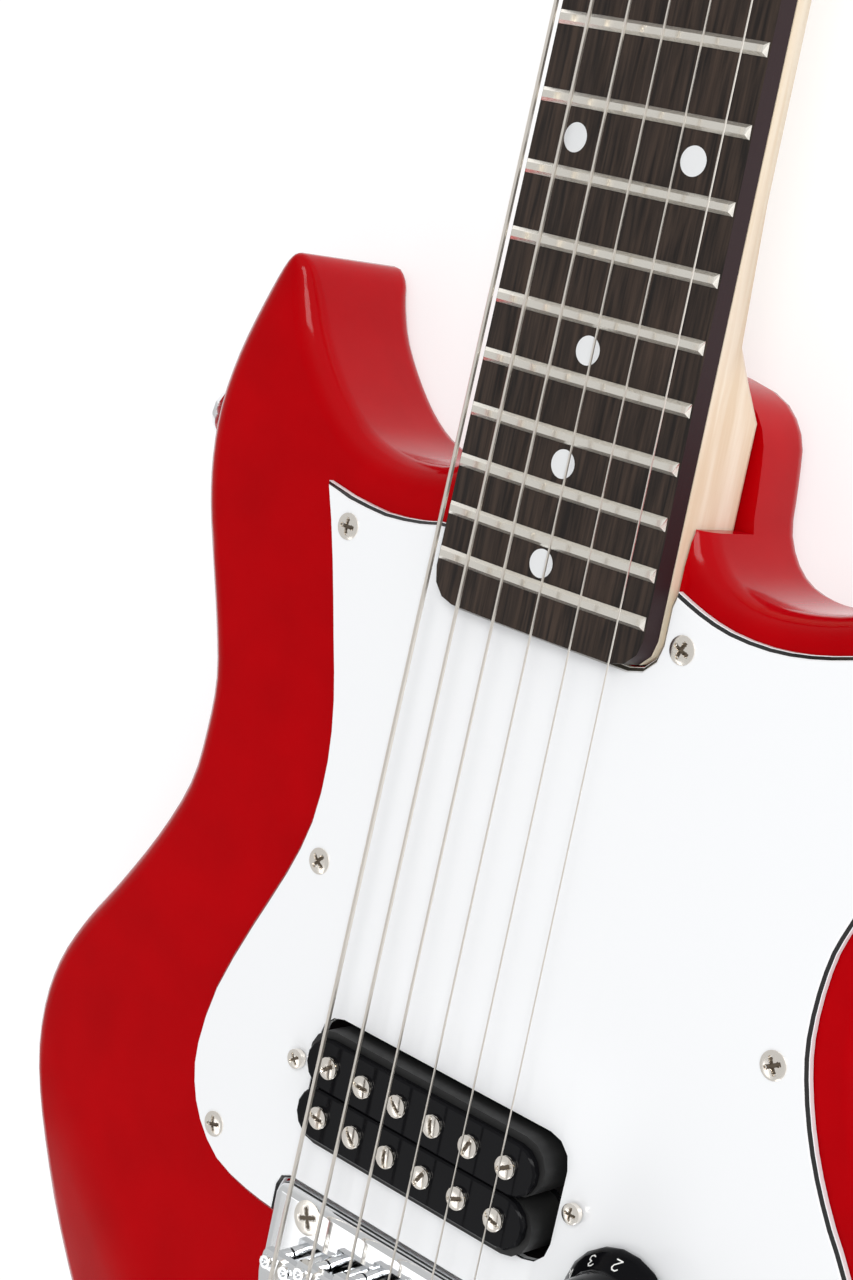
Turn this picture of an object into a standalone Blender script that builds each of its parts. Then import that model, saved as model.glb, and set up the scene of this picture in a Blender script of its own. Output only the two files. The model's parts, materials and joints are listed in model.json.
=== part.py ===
"""Mini electric guitar, 476 mm scale, 19 frets, one narrow double-coil pickup.

Lies on its back: +Z is up out of the body's face, +Y runs to the headstock and
+X is the treble side. x = 0 is the centre line, y = 0 the saddle line and z = 0
the flat back of the body. Sizes are millimetres, turned into metres by MM.
"""
import bpy
import bmesh
import math
import numpy as np
from mathutils import Matrix, Vector, geometry

MM = 0.001
GAP = 0.3                      # between pieces that touch
NECK_PLATE = ((-22.0, 150.0), (22.0, 186.0))
NECK_PLATE_T = 1.5
NECK_PLATE_DEPTH = 2.8         # of the recess in the back that it lies in

# Scale, strings and neck
SCALE = 476.0
FRET_COUNT = 19
STRINGS = ("low_e", "a", "d", "g", "b", "high_e")
STRING_D = (1.08, 0.86, 0.68, 0.50, 0.42, 0.36)
BRIDGE_PITCH = 10.5
NUT_PITCH = 7.9
NUT_SHIFT = -1.4               # the strings sit a little to the bass side
SADDLE_SET = (-2.2, 0.0, 2.0, 0.6, 1.8, 3.0)
SADDLE_Z = (47.3, 47.9, 47.9, 47.6, 47.2, 47.2)
NUT_Z = (44.3, 44.5, 44.6, 44.5, 44.4, 44.2)
FRET_W_NUT = 43.9
FRET_TAPER = 0.0322            # growth of the fret length for each mm toward the body
BOARD_LIP = 1.0
BOARD_END = 149.3
END_R = 6.5
BOARD_EDGE_Z = 41.3
BOARD_EDGE_T = 3.4
BOARD_RADIUS = 300.0
FRET_W = 2.7
FRET_H = 1.0
NUT_T = 4.6

# Body
BODY_T = 35.0
EDGE_R = 6.0
POCKET_Z = 18.3
POCKET_OPEN_Y = 178.0
ARM_RIDGE = ((-116.8, -2.5), (-81.2, -32.9))
ARM_SLOPE = 0.30
ARM_SOFT = 5.0
BODY_LINE = (
    (0, -100), (38, -97), (72, -86), (100, -65), (119, -38), (128, -8),
    (127.5, 18), (119, 44), (105, 66), (95, 84), (91, 102), (93, 122),
    (99, 142), (103.5, 160), (103, 176), (98.5, 187), (91.5, 190.5), (84.5, 186),
    (76, 178), (65, 171.8), (54, 168.9), (44, 168.4), (36, 171), (30.8, 178),
    (29.4, 188), (27.2, 198), (19, 204.8), (0, 207), (-19, 204.8), (-27.2, 198),
    (-29.4, 189), (-30.8, 181), (-36, 175.2), (-48, 173.3), (-59, 175), (-66.5, 179),
    (-73.5, 185.5), (-80, 193.8), (-83.8, 201.5), (-86.5, 207.2), (-90.5, 209.4), (-94.8, 206.3),
    (-99.8, 197.5), (-104.6, 185), (-107.3, 172), (-107, 160), (-104.7, 149),
    (-100.5, 137), (-95.8, 124), (-92.4, 112), (-92.2, 100), (-94, 87), (-101, 72),
    (-111, 56), (-120, 43), (-126, 31), (-128.6, 18), (-127.8, 2), (-124, -16),
    (-116, -38), (-101, -62), (-75, -83), (-40, -96))

# Guard
GUARD_T = 2.2
GUARD_BEVEL = 1.0
GUARD_BASS = (
    (-65.5, 164.3), (-60, 148), (-55.1, 131.5), (-51.6, 119.1), (-49.8, 106.2),
    (-50.6, 92.3), (-54.8, 79.2), (-61.8, 63.8), (-68.6, 46.8), (-71, 32.4),
    (-69.8, 23.2), (-65.6, 15.2), (-58, 8.7), (-47.4, 6))
GUARD_TREBLE = (
    (44, -24), (55, -35), (72, -39), (88, -34), (100, -21), (107, -4), (109, 14),
    (107.5, 32), (103.5, 46), (99.1, 56.1), (93.7, 63.5), (88.8, 71.2),
    (84.8, 79.3), (81.7, 87.9), (80.2, 95.2), (80, 103.9), (80.9, 112.1),
    (83, 118.7), (86.5, 130), (89, 142), (89.5, 154), (87, 164), (83, 170))
GUARD_HORN = (
    (77, 168), (69.7, 165.3), (61, 162.9), (52.3, 161.7), (43, 162), (35.5, 163.7))
GUARD_TOP = ((-32.6, 163.7), (-37.4, 162.7), (-47.3, 161.8), (-58, 162.8))
GUARD_SCREWS = (
    (-56.5, 156.4), (-45.3, 84.8), (-60.3, 16.7), (33.7, 155.7), (74.3, 87.7),
    (82.0, 160.0), (101.0, 30.0), (88.0, -26.0), (52.0, -26.0))
GUARD_HOLE_R = 1.6

# Bridge
PLATE_HALF_W = 37.6
PLATE_FRONT = 14.2
PLATE_BACK = -28.8
PLATE_TOP = 39.3
PLATE_EDGE_R = 2.0
PLATE_CORNER_R = 3.2
FLANGE_T = 1.8
FLANGE_TOP = 47.6
INTONATION_Z = 41.2
STRING_HOLE_Z = 45.0
SADDLE_W = 10.2
SADDLE_H = 2.9
SADDLE_NOSE = 4.2
SADDLE_TAIL = 9.0
SADDLE_LUG_T = 3.6
GRUB_R = 1.5
GRUB_X = 2.85
GRUB_Y = 2.0
SCREW_R = 1.2

# Pickup
POLE_ROWS = (46.1, 34.7)
POLE_PITCH = 10.04
POLE_R = 2.4
BOBBIN_L = 64.4
BOBBIN_W = 11.1
COIL_L = 66.5
COIL_W = 12.6
PICKUP_TOP = 43.9
PICKUP_BASE = 25.0
PICKUP_SCREW_X = 39.3
PICKUP_SCREW_Y = 41.5

# Controls and jack
KNOBS = {"volume": (55.0, 27.6), "tone": (84.0, 4.0)}
KNOB_R = 13.0
KNOB_BASE = 38.9
KNOB_TOP = 55.5
SHAFT_R = 3.0
JACK_Y = -14.0
JACK_Z = 19.0
JACK_SEAT_X = 123.0

# Headstock and tuners
HEAD_BACK = 18.6
HEAD_FACE = 31.6
HEAD_LINE = (
    (-21, 484), (-24.5, 492), (-31, 503), (-34.5, 516), (-34.5, 545), (-33.5, 578),
    (-32, 600), (-25, 614), (-12, 619.5), (0, 618), (12, 619.5), (25, 614),
    (32, 600), (33.5, 578), (34.5, 545), (34.5, 516), (31, 503), (24.5, 492), (21, 484))
POST_X = 24.0
POST_Y = (508.0, 541.0, 574.0)
POST_R = 3.0
POST_WAIST_R = 2.5
POST_TOP = 40.6
WRAP_Z = 38.4
WRAP_TURNS = 2
CASE_H = 12.0
WORM_DY = -6.0
WORM_R = 1.6

FINISHES = {
    "lacquer": ((0.55, 0.0, 0.01), 0.12, 0.0), "maple": ((0.83, 0.62, 0.40), 0.35, 0.0),
    "rosewood": ((0.06, 0.03, 0.02), 0.5, 0.0), "bone": ((0.85, 0.83, 0.75), 0.4, 0.0),
    "guard": ((0.88, 0.89, 0.90), 0.25, 0.0), "chrome": ((0.75, 0.76, 0.78), 0.08, 1.0),
    "nickel": ((0.70, 0.66, 0.60), 0.25, 1.0), "black": ((0.02, 0.02, 0.02), 0.2, 0.0),
    "tape": ((0.03, 0.03, 0.03), 0.6, 0.0), "steel": ((0.45, 0.45, 0.46), 0.35, 1.0)}


def clear_scene():
    for obj in list(bpy.data.objects):
        bpy.data.objects.remove(obj, do_unlink=True)


def finish(name):
    """One Principled material for each finish, made the first time it is asked for."""
    found = bpy.data.materials.get(name)
    if found:
        return found
    colour, roughness, metallic = FINISHES[name]
    made = bpy.data.materials.new(name)
    made.use_nodes = True
    shader = made.node_tree.nodes["Principled BSDF"]
    shader.inputs["Base Color"].default_value = (*colour, 1.0)
    shader.inputs["Roughness"].default_value = roughness
    shader.inputs["Metallic"].default_value = metallic
    return made


def add_mesh(name, points, faces, look, smooth_angle=40.0):
    """Object from points in millimetres, faces turned outward and round sides smooth."""
    mesh = bpy.data.meshes.new(name)
    mesh.from_pydata([tuple(p) for p in np.asarray(points, float) * MM], [], faces)
    shell = bmesh.new()
    shell.from_mesh(mesh)
    bmesh.ops.recalc_face_normals(shell, faces=shell.faces)
    shell.to_mesh(mesh)
    shell.free()
    mesh.shade_smooth()
    mesh.set_sharp_from_angle(angle=math.radians(smooth_angle))
    mesh.materials.append(finish(look))
    obj = bpy.data.objects.new(name, mesh)
    bpy.context.scene.collection.objects.link(obj)
    return obj


def stack(name, rings, look, closed=False):
    """Skin over rings with the same number of points; flat ends, or joined head to tail."""
    rings = [np.asarray(ring, float) for ring in rings]
    count = len(rings[0])
    levels = len(rings)
    faces = []
    for level in range(levels if closed else levels - 1):
        above = (level + 1) % levels
        for i in range(count):
            j = (i + 1) % count
            faces.append((level * count + i, level * count + j,
                          above * count + j, above * count + i))
    if not closed:
        faces.append(tuple(range(count))[::-1])
        faces.append(tuple((levels - 1) * count + i for i in range(count)))
    return add_mesh(name, np.concatenate(rings), faces, look)


def level_ring(loop, z):
    loop = np.asarray(loop, float)
    return np.column_stack([loop, np.full(len(loop), z)])


def turned(name, profile, centre, axis, look, sides=16, closed=False):
    """Turns a profile of (radius, distance along the axis) round the axis."""
    axis = Vector(axis).normalized()
    across = axis.orthogonal().normalized()
    other = axis.cross(across)
    angles = np.arange(sides) * 2 * math.pi / sides
    circle = np.outer(np.cos(angles), across) + np.outer(np.sin(angles), other)
    rings = [np.asarray(centre) + circle * r + np.asarray(axis) * h for r, h in profile]
    return stack(name, rings, look, closed)


def box(name, low, high, look):
    corners = [(low[0], low[1]), (high[0], low[1]), (high[0], high[1]), (low[0], high[1])]
    return stack(name, [level_ring(corners, low[2]), level_ring(corners, high[2])], look)


def boolean(target, tool, kind):
    """Cuts or joins a hidden tool solid into the target."""
    tool.hide_render = True
    tool.display_type = 'WIRE'
    step = target.modifiers.new(kind.lower(), 'BOOLEAN')
    step.operation = kind
    step.solver = 'EXACT'
    step.object = tool


def pivot(obj, point):
    """Moves an object's origin onto its joint's axis without moving its shape."""
    shift = Vector(point) * MM
    obj.data.transform(Matrix.Translation(-shift))
    obj.location = shift
    return obj


def spline(points, per_span, loop=False):
    """Catmull-Rom curve through the points, with per_span steps for each span."""
    points = np.asarray(points, float)
    if loop:
        padded = np.vstack([points[-1], points, points[:2]])
    else:
        padded = np.vstack([2 * points[0] - points[1], points, 2 * points[-1] - points[-2]])
    t = (np.arange(per_span) / per_span)[:, None]
    spans = []
    for a, b, c, d in zip(padded, padded[1:], padded[2:], padded[3:]):
        spans.append(0.5 * (2 * b + (c - a) * t + (2 * a - 5 * b + 4 * c - d) * t ** 2
                            + (3 * b - 3 * c + d - a) * t ** 3))
    curve = np.concatenate(spans)
    return curve if loop else np.vstack([curve, points[-1]])


def outward(loop):
    """Unit normals of a closed loop that runs anticlockwise, and each corner's miter."""
    ahead = np.roll(loop, -1, axis=0) - loop
    ahead /= np.linalg.norm(ahead, axis=1)[:, None]
    side = np.column_stack([ahead[:, 1], -ahead[:, 0]])
    both = side + np.roll(side, 1, axis=0)
    length = np.linalg.norm(both, axis=1)[:, None]
    normal = both / length
    return normal, np.minimum(2.0 / length, 1.5)


def anticlockwise(loop):
    x, y = loop[:, 0], loop[:, 1]
    area = np.sum(x * np.roll(y, -1) - y * np.roll(x, -1))
    return loop if area > 0 else loop[::-1]


def inset(loop, distance):
    normal, miter = outward(loop)
    return loop - normal * miter * np.reshape(distance, (-1, 1))


def superellipse(centre, half_x, half_y, power, count):
    angles = (np.arange(count) + 0.5) * 2 * math.pi / count
    c, s = np.cos(angles), np.sin(angles)
    x = half_x * np.sign(c) * np.abs(c) ** (2 / power)
    y = half_y * np.sign(s) * np.abs(s) ** (2 / power)
    return np.column_stack([centre[0] + x, centre[1] + y])


def stadium(centre, length, width, per_end):
    """Outline with two half-round ends, long side along X."""
    turn = np.linspace(-math.pi / 2, math.pi / 2, per_end)
    reach = (length - width) / 2
    right = np.column_stack([reach + width / 2 * np.cos(turn), width / 2 * np.sin(turn)])
    return np.vstack([right, -right]) + np.asarray(centre)


def rounded_box(low, high, radius, per_corner=4):
    """Rectangle in plan with rounded corners, anticlockwise."""
    centres = ((high[0] - radius, high[1] - radius, 0), (low[0] + radius, high[1] - radius, 90),
               (low[0] + radius, low[1] + radius, 180), (high[0] - radius, low[1] + radius, 270))
    loop = []
    for cx, cy, start in centres:
        for angle in np.radians(start + np.linspace(0, 90, per_corner)):
            loop.append((cx + radius * math.cos(angle), cy + radius * math.sin(angle)))
    return np.array(loop)


def sweep(name, path, radii, look, sides=6):
    """Round tube along a path, with its own radius at each point of the path."""
    path = np.asarray(path, float)
    ahead = np.gradient(path, axis=0)
    ahead /= np.linalg.norm(ahead, axis=1)[:, None]
    across = np.cross(ahead[0], (0.3, 0.1, 1.0))
    rings = []
    angles = np.arange(sides) * 2 * math.pi / sides
    for point, direction, radius in zip(path, ahead, radii):
        across = across - direction * np.dot(across, direction)
        across /= np.linalg.norm(across)
        other = np.cross(direction, across)
        rings.append(point + radius * (np.outer(np.cos(angles), across)
                                       + np.outer(np.sin(angles), other)))
    return stack(name, rings, look)


def fret_y(number):
    return SCALE * 2 ** (-number / 12)


def fret_length(y):
    return FRET_W_NUT + (SCALE - y) * FRET_TAPER


def half_width(y):
    """Half the width of the board's foot and of the neck under it."""
    straight = fret_length(y) / 2 + BOARD_LIP
    from_end = y - BOARD_END
    if from_end >= END_R:
        return straight
    return straight - END_R + math.sqrt(END_R ** 2 - (END_R - from_end) ** 2)


def end_stations(steps=4):
    """Places along the neck that follow its rounded end corners."""
    return [BOARD_END + END_R * (1 - math.cos(a)) for a in np.linspace(0, math.pi / 2, steps)]


def board_top(x):
    return BOARD_EDGE_Z + ((fret_length(BOARD_END) / 2) ** 2 - x ** 2) / (2 * BOARD_RADIUS)


def string_x(index, at_nut=False):
    if at_nut:
        return NUT_SHIFT + (index - 2.5) * NUT_PITCH
    return (index - 2.5) * BRIDGE_PITCH


def arm_drop(x, y):
    """How far the forearm bevel has fallen below the face at a point."""
    (x0, y0), (x1, y1) = ARM_RIDGE
    length = math.hypot(x1 - x0, y1 - y0)
    beyond = ((y1 - y0) * (x - x0) - (x1 - x0) * (y - y0)) / length
    return ARM_SLOPE * (beyond + np.sqrt(beyond ** 2 + ARM_SOFT ** 2)) / 2


def body_rings(loop):
    """Wall rings from back to face; the rounding tightens at the horn tips."""
    normal, _ = outward(loop)
    reach = loop[None] - loop[:, None]
    across = -np.sum(reach * normal[:, None], axis=2)
    fits = np.sum(reach ** 2, axis=2) / np.maximum(2 * across, 1e-6)
    fits[across < 1e-3] = 1000.0
    radius = np.minimum(EDGE_R, 0.75 * np.min(fits, axis=1))
    for _ in range(4):
        eased = (np.roll(radius, 1) + radius + np.roll(radius, -1)) / 3
        radius = np.minimum(radius, eased)
    rings = []
    for angle in np.radians((90, 67.5, 45, 22.5, 0)):
        flat = inset(loop, radius * (1 - math.cos(angle)))
        rings.append(np.column_stack([flat, radius * (1 - math.sin(angle))]))
    for angle in np.radians((0, 22.5, 45, 67.5, 90)):
        flat = inset(loop, radius * (1 - math.cos(angle)))
        top = BODY_T - arm_drop(flat[:, 0], flat[:, 1]) - radius * (1 - math.sin(angle))
        rings.append(np.column_stack([flat, top]))
    return rings


def make_body():
    """One slab with rounded edges, a forearm bevel and the routs under guard and neck."""
    loop = anticlockwise(spline(BODY_LINE, 3, loop=True))
    rings = body_rings(loop)
    count = len(loop)
    points = list(np.concatenate(rings))
    faces = [tuple(range(count))]
    for level in range(len(rings) - 1):
        for i in range(count):
            j = (i + 1) % count
            faces.append((level * count + i, level * count + j,
                          (level + 1) * count + j, (level + 1) * count + i))
    rim = rings[-1][:, :2]
    grid = [(x, y) for x in np.arange(-118, 10, 9.0) for y in np.arange(-90, 30, 9.0)
            if arm_drop(x, y) > 0.15 and inside(rim, x, y, 4.0)]
    flat_points = [Vector(p) for p in rim] + [Vector(p) for p in grid]
    edges = [(i, (i + 1) % count) for i in range(count)]
    _, _, triangles, origin, _, _ = geometry.delaunay_2d_cdt(flat_points, edges, [], 1, 1e-6)
    triangles = [[origin[i][0] for i in triangle] for triangle in triangles]
    first = (len(rings) - 1) * count
    points += [(x, y, BODY_T - arm_drop(x, y)) for x, y in grid]
    faces += [tuple(first + i for i in triangle) for triangle in triangles]
    body = add_mesh("body", points, faces, "lacquer", 30)

    boolean(body, pocket_tool(), 'DIFFERENCE')
    rout = rounded_box((-36.5, 25.5), (36.5, 55.5), 6)
    boolean(body, stack("tool_pickup_rout", [level_ring(rout, 13), level_ring(rout, 40)],
                        "maple"), 'DIFFERENCE')
    tabs = rounded_box((-46, 34.5), (48, 48.5), 3)
    boolean(body, stack("tool_tab_rout", [level_ring(tabs, 18), level_ring(tabs, 40)],
                        "maple"), 'DIFFERENCE')
    hollow = anticlockwise(spline(((45, 44), (70, 44), (94, 36), (101, 14), (99, -10),
                                   (88, -24), (64, -26), (46, -12), (42, 16)), 3, loop=True))
    boolean(body, stack("tool_control_rout", [level_ring(hollow, 11), level_ring(hollow, 40)],
                        "maple"), 'DIFFERENCE')
    boolean(body, turned("tool_jack_seat", ((13, 0), (13, 20)), (JACK_SEAT_X, JACK_Y, JACK_Z),
                         (1, 0, 0), "maple", 20), 'DIFFERENCE')
    boolean(body, turned("tool_jack_bore", ((6, -40), (6, 10)), (JACK_SEAT_X, JACK_Y, JACK_Z),
                         (1, 0, 0), "maple", 12), 'DIFFERENCE')
    recess = rounded_box(*NECK_PLATE, 4)
    boolean(body, stack("tool_plate_recess", [level_ring(inset(recess, -GAP), -5),
                                              level_ring(inset(recess, -GAP), NECK_PLATE_DEPTH)],
                        "maple"), 'DIFFERENCE')
    for number, (x, y) in enumerate(neck_screw_places()):
        boolean(body, turned(f"tool_neck_screw_{number}", ((2.4, -5), (2.4, POCKET_Z + 5)),
                             (x, y, 0), (0, 0, 1), "maple", 8), 'DIFFERENCE')


def inside(loop, x, y, margin):
    """True where a point lies in a closed loop and at least the margin from its points."""
    x0, y0 = loop[:, 0], loop[:, 1]
    x1, y1 = np.roll(x0, -1), np.roll(y0, -1)
    crosses = (y0 > y) != (y1 > y)
    rise = np.where(crosses, y1 - y0, 1.0)
    hits = np.sum(crosses & (x < (x1 - x0) * (y - y0) / rise + x0))
    return hits % 2 == 1 and np.min(np.hypot(x0 - x, y0 - y)) > margin


def neck_end_line(clearance, far_y):
    """Plan of the neck's end and sides with a clearance, from treble side to bass side."""
    stations = [far_y] + end_stations()[::-1]
    treble = [(half_width(y) + clearance, y) for y in stations]
    treble = [(x, y - clearance if y < far_y else y) for x, y in treble]
    return treble + [(-x, y) for x, y in treble[::-1]]


def pocket_tool():
    """Neck pocket, which opens to full width where the heel tongue runs on."""
    line = neck_end_line(GAP, POCKET_OPEN_Y)
    wide = [(-36, POCKET_OPEN_Y), (-36, 216), (36, 216), (36, POCKET_OPEN_Y)]
    plan = anticlockwise(np.array(line + wide))
    return stack("tool_pocket", [level_ring(plan, POCKET_Z), level_ring(plan, 45)], "maple")


def neck_screw_places():
    return [(x, y) for x in (-15.0, 15.0) for y in (157.0, 179.0)]


def neck_section(y, width, depth, top, power):
    """Half-round back under a flat top."""
    turn = np.linspace(0, math.pi, 11)
    c, s = np.cos(turn), np.sin(turn)
    x = width * np.sign(c) * np.abs(c) ** (2 / power)
    z = top - depth * np.abs(s) ** (2 / power)
    return np.column_stack([x, np.full(len(x), y), z])


def make_neck():
    """Maple neck: square heel, round back, and a flat head set below the board."""
    top = BOARD_EDGE_Z - BOARD_EDGE_T - GAP
    heel = top - HEAD_BACK
    sections = [neck_section(y, half_width(y), heel, top, 16.0) for y in end_stations()]
    sections.append(neck_section(199.0, half_width(199.0), heel, top, 16.0))
    sections.append(neck_section(206.0, half_width(206.0), heel - 1.2, top, 5.0))
    sections.append(neck_section(213.0, half_width(213.0), heel - 2.8, top, 3.0))
    for y in (240.0, 300.0, 380.0, 450.0):
        depth = heel - 3.0 - 2.0 * (y - 240.0) / 210.0
        sections.append(neck_section(y, half_width(y), depth, top, 2.35))
    sections.append(neck_section(470.0, half_width(470.0), heel - 4.4, top, 2.4))
    sections.append(neck_section(481.5, 22.6, heel - 2.0, top, 3.0))
    sections.append(neck_section(485.0, 22.3, heel - 3.6, top - 2.6, 3.6))
    sections.append(neck_section(491.0, 22.0, heel - 5.6, top - 5.2, 5.0))
    sections.append(neck_section(498.0, 21.5, 11.0, HEAD_FACE - 0.4, 6.0))
    neck = stack("neck", sections, "maple")

    plan = anticlockwise(spline(HEAD_LINE, 2))
    bevel = 1.2
    head = stack("tool_head", [level_ring(inset(plan, bevel), HEAD_BACK),
                               level_ring(plan, HEAD_BACK + bevel),
                               level_ring(plan, HEAD_FACE - bevel),
                               level_ring(inset(plan, bevel), HEAD_FACE)], "maple")
    boolean(neck, head, 'UNION')
    boolean(neck, box("tool_rod_slot", (-3.4, 164, 30.4), (3.4, 489, 50), "maple"),
            'DIFFERENCE')
    for side in (-1, 1):
        for y in POST_Y:
            boolean(neck, turned(f"tool_post_{side}_{y:.0f}", ((4.0, 10), (4.0, 40)),
                                 (side * POST_X, y, 0), (0, 0, 1), "maple", 12),
                    'DIFFERENCE')
    for number, (x, y) in enumerate(neck_screw_places()):
        boolean(neck, turned(f"tool_neck_pilot_{number}", ((2.4, 10), (2.4, 33)),
                             (x, y, 0), (0, 0, 1), "maple", 8), 'DIFFERENCE')

    rod_z = 33.9
    turned("truss_rod", ((3.0, 166), (3.0, 478), (2.6, 478.6), (2.6, 486)), (0, 0, rod_z),
           (0, 1, 0), "steel", 10)


def make_fretboard():
    """Radiused board with a fret pressed in at each place that the scale gives."""
    foot = BOARD_EDGE_Z - BOARD_EDGE_T
    shares = (-1.0, -0.5, 0.0, 0.5, 1.0)
    sections = []
    for y in end_stations() + [SCALE - GAP]:
        wide = half_width(y)
        top = wide - BOARD_LIP
        ring = [(wide, y, foot)] + [(top * s, y, board_top(top * s)) for s in shares[::-1]]
        sections.append(ring + [(-wide, y, foot)])
    board = stack("fretboard", sections, "rosewood")
    points = []
    faces = []
    for number in range(1, FRET_COUNT + 1):
        points, faces = add_fret(points, faces, fret_y(number))
    boolean(board, add_mesh("tool_frets", points, faces, "nickel"), 'UNION')


def add_fret(points, faces, y):
    """Fret wire with a low round crown, its ends filed back at a slope."""
    half = fret_length(y) / 2 - 0.15
    crown = ((-FRET_W / 2, -0.5), (-FRET_W / 2, 0.25), (-FRET_W / 4, FRET_H),
             (FRET_W / 4, FRET_H), (FRET_W / 2, 0.25), (FRET_W / 2, -0.5))
    file_back = 0.8
    first = len(points)
    stations = (-1.0, -0.5, 0.0, 0.5, 1.0)
    for share in stations:
        for dy, rise in crown:
            x = share * half
            if abs(share) == 1.0:
                x -= share * file_back * max(rise, 0) / FRET_H
            points.append((x, y + dy, board_top(x) + rise))
    size = len(crown)
    for level in range(len(stations) - 1):
        for i in range(size):
            j = (i + 1) % size
            low = first + level * size
            faces.append((low + i, low + j, low + size + j, low + size + i))
    faces.append(tuple(first + i for i in range(size))[::-1])
    last = first + (len(stations) - 1) * size
    faces.append(tuple(last + i for i in range(size)))
    return points, faces


def make_nut():
    """Bone nut, notched for each string."""
    foot = BOARD_EDGE_Z - BOARD_EDGE_T
    half = half_width(SCALE)
    line = [(-half, foot), (-half, NUT_Z[0])]
    for index in range(len(STRINGS)):
        x = string_x(index, at_nut=True)
        radius = STRING_D[index] / 2 + GAP
        crest = NUT_Z[index] + 0.25
        floor = NUT_Z[index] - radius
        line += [(x - radius - 0.1, crest), (x - radius, floor), (x + radius, floor),
                 (x + radius + 0.1, crest)]
    line += [(half, NUT_Z[-1]), (half, foot)]
    rings = [[(x, y, z) for x, z in line] for y in (SCALE, SCALE + NUT_T)]
    stack("nut", rings, "bone")


def make_neck_plate():
    """Back plate that spreads the load of the four neck screws."""
    plan = rounded_box(*NECK_PLATE, 4)
    top = NECK_PLATE_DEPTH - GAP
    low = top - NECK_PLATE_T
    plate = stack("neck_plate", [level_ring(inset(plan, 0.4), low),
                                 level_ring(plan, low + 0.4), level_ring(plan, top)],
                  "chrome")
    for number, (x, y) in enumerate(neck_screw_places()):
        screw = turned(f"tool_plate_screw_{number}",
                       ((2.2, low - 0.8), (3.8, low - 0.3), (3.8, low + 0.6),
                        (2.0, low + 0.9), (2.0, 31.0)), (x, y, 0), (0, 0, 1), "chrome", 10)
        boolean(plate, screw, 'UNION')


def make_guard():
    """Three-ply guard with a bevelled edge, let in round the neck and the bridge."""
    base = BODY_T + GAP
    edge = PLATE_HALF_W + 0.6
    front = PLATE_FRONT + 0.4
    corner = 3.0
    lip = neck_end_line(GAP + 0.1, 163.0)
    line = np.concatenate([
        spline(GUARD_BASS + ((-edge, 5.2),), 2),
        [(-edge, front - corner), (-edge + 0.9, front - 0.9), (-edge + corner, front),
         (edge - corner, front), (edge - 0.9, front - 0.9), (edge, front - corner)],
        spline(((edge, -8),) + GUARD_TREBLE, 2),
        spline(GUARD_HORN + ((lip[0][0] + 0.8, 166.0),), 2),
        lip,
        spline(((lip[-1][0] - 0.6, 163.9),) + GUARD_TOP, 2)])
    plan = anticlockwise(line)
    guard = stack("pickguard", [level_ring(plan, base),
                                level_ring(plan, base + GUARD_T - GUARD_BEVEL),
                                level_ring(inset(plan, GUARD_BEVEL), base + GUARD_T)], "guard")
    window = rounded_box((-35.2, 26.6), (35.2, 54.5), 6)
    boolean(guard, stack("tool_window", [level_ring(window, 30), level_ring(window, 42)],
                         "guard"), 'DIFFERENCE')
    holes = [(x, y, GUARD_HOLE_R) for x, y in GUARD_SCREWS]
    holes += [(side * PICKUP_SCREW_X, PICKUP_SCREW_Y, 1.8) for side in (-1, 1)]
    holes += [(x, y, 4.6) for x, y in KNOBS.values()]
    for number, (x, y, radius) in enumerate(holes):
        boolean(guard, turned(f"tool_guard_hole_{number}", ((radius, 30), (radius, 42)),
                              (x, y, 0), (0, 0, 1), "guard", 10), 'DIFFERENCE')


def make_bridge():
    """Flat bridge plate with a rounded edge and a drilled flange at its back."""
    base = BODY_T + GAP
    plan = rounded_box((-PLATE_HALF_W, PLATE_BACK), (PLATE_HALF_W, PLATE_FRONT), PLATE_CORNER_R)
    rings = [level_ring(plan, base)]
    for angle in np.radians((0, 35, 65, 90)):
        rings.append(level_ring(inset(plan, PLATE_EDGE_R * (1 - math.cos(angle))),
                                PLATE_TOP - PLATE_EDGE_R * (1 - math.sin(angle))))
    plate = stack("bridge_plate", rings, "chrome")
    flange = box("tool_flange", (-PLATE_HALF_W + 1, PLATE_BACK + 0.2, base + 1),
                 (PLATE_HALF_W - 1, PLATE_BACK + 0.2 + FLANGE_T, FLANGE_TOP), "chrome")
    boolean(plate, flange, 'UNION')
    for index in range(len(STRINGS)):
        x = string_x(index)
        for kind, z, radius in (("screw", INTONATION_Z, SCREW_R + GAP),
                                ("string", STRING_HOLE_Z, STRING_D[index] / 2 + GAP)):
            boolean(plate, turned(f"tool_{kind}_hole_{index}", ((radius, -6), (radius, 6)),
                                  (x, PLATE_BACK, z), (0, 1, 0), "chrome", 8), 'DIFFERENCE')
        make_saddle(index, x)
        make_intonation_screw(index, x)


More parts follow.
